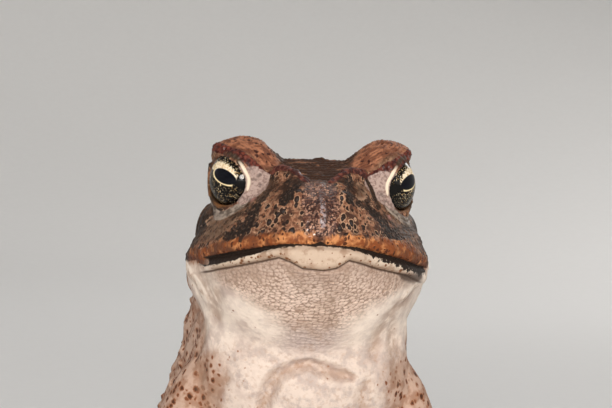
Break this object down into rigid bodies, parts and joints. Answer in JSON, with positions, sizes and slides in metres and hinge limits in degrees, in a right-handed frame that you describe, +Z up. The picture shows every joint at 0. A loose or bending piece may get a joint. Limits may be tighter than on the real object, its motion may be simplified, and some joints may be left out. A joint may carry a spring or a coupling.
{
  "type": "cane toad",
  "caption": "Life-size cane toad sitting upright, head raised, with heavy brows, big neck glands and warty skin",
  "frame": {"origin": "centre of the bounding box in plan, on the floor the toad sits on", "axes": "X to the toad's own left, Y towards its rump so that it faces -Y, Z up"},
  "size_m": [0.1154, 0.1079, 0.0895],
  "materials": {
    "head_skin": "moist, mottled brown and tan, warty",
    "throat_skin": "pale, finely granular, slightly moist",
    "body_skin": "dry, warty brown back over a pale spotted belly",
    "eye": "wet gloss, black flecked with gold",
    "gland_skin": "satin, pitted with pores",
    "eardrum_skin": "satin, thin and smooth",
    "limb_skin": "dry, warty, spotted",
    "digit_skin": "dry, finely granular"
  },
  "bodies": {
    "root": {"head": "head_skin", "lower_jaw": "throat_skin", "torso": "body_skin", "eye_left": "eye", "eye_right": "eye", "parotoid_left": "gland_skin", "parotoid_right": "gland_skin", "tympanum_left": "eardrum_skin", "tympanum_right": "eardrum_skin", "upper_arm_left": "limb_skin", "upper_arm_right": "limb_skin", "forearm_left": "limb_skin", "forearm_right": "limb_skin", "hand_left": "digit_skin", "hand_right": "digit_skin", "thigh_left": "limb_skin", "thigh_right": "limb_skin", "shank_left": "limb_skin", "shank_right": "limb_skin", "foot_left": "digit_skin", "foot_right": "digit_skin"}
  },
  "joints": []
}
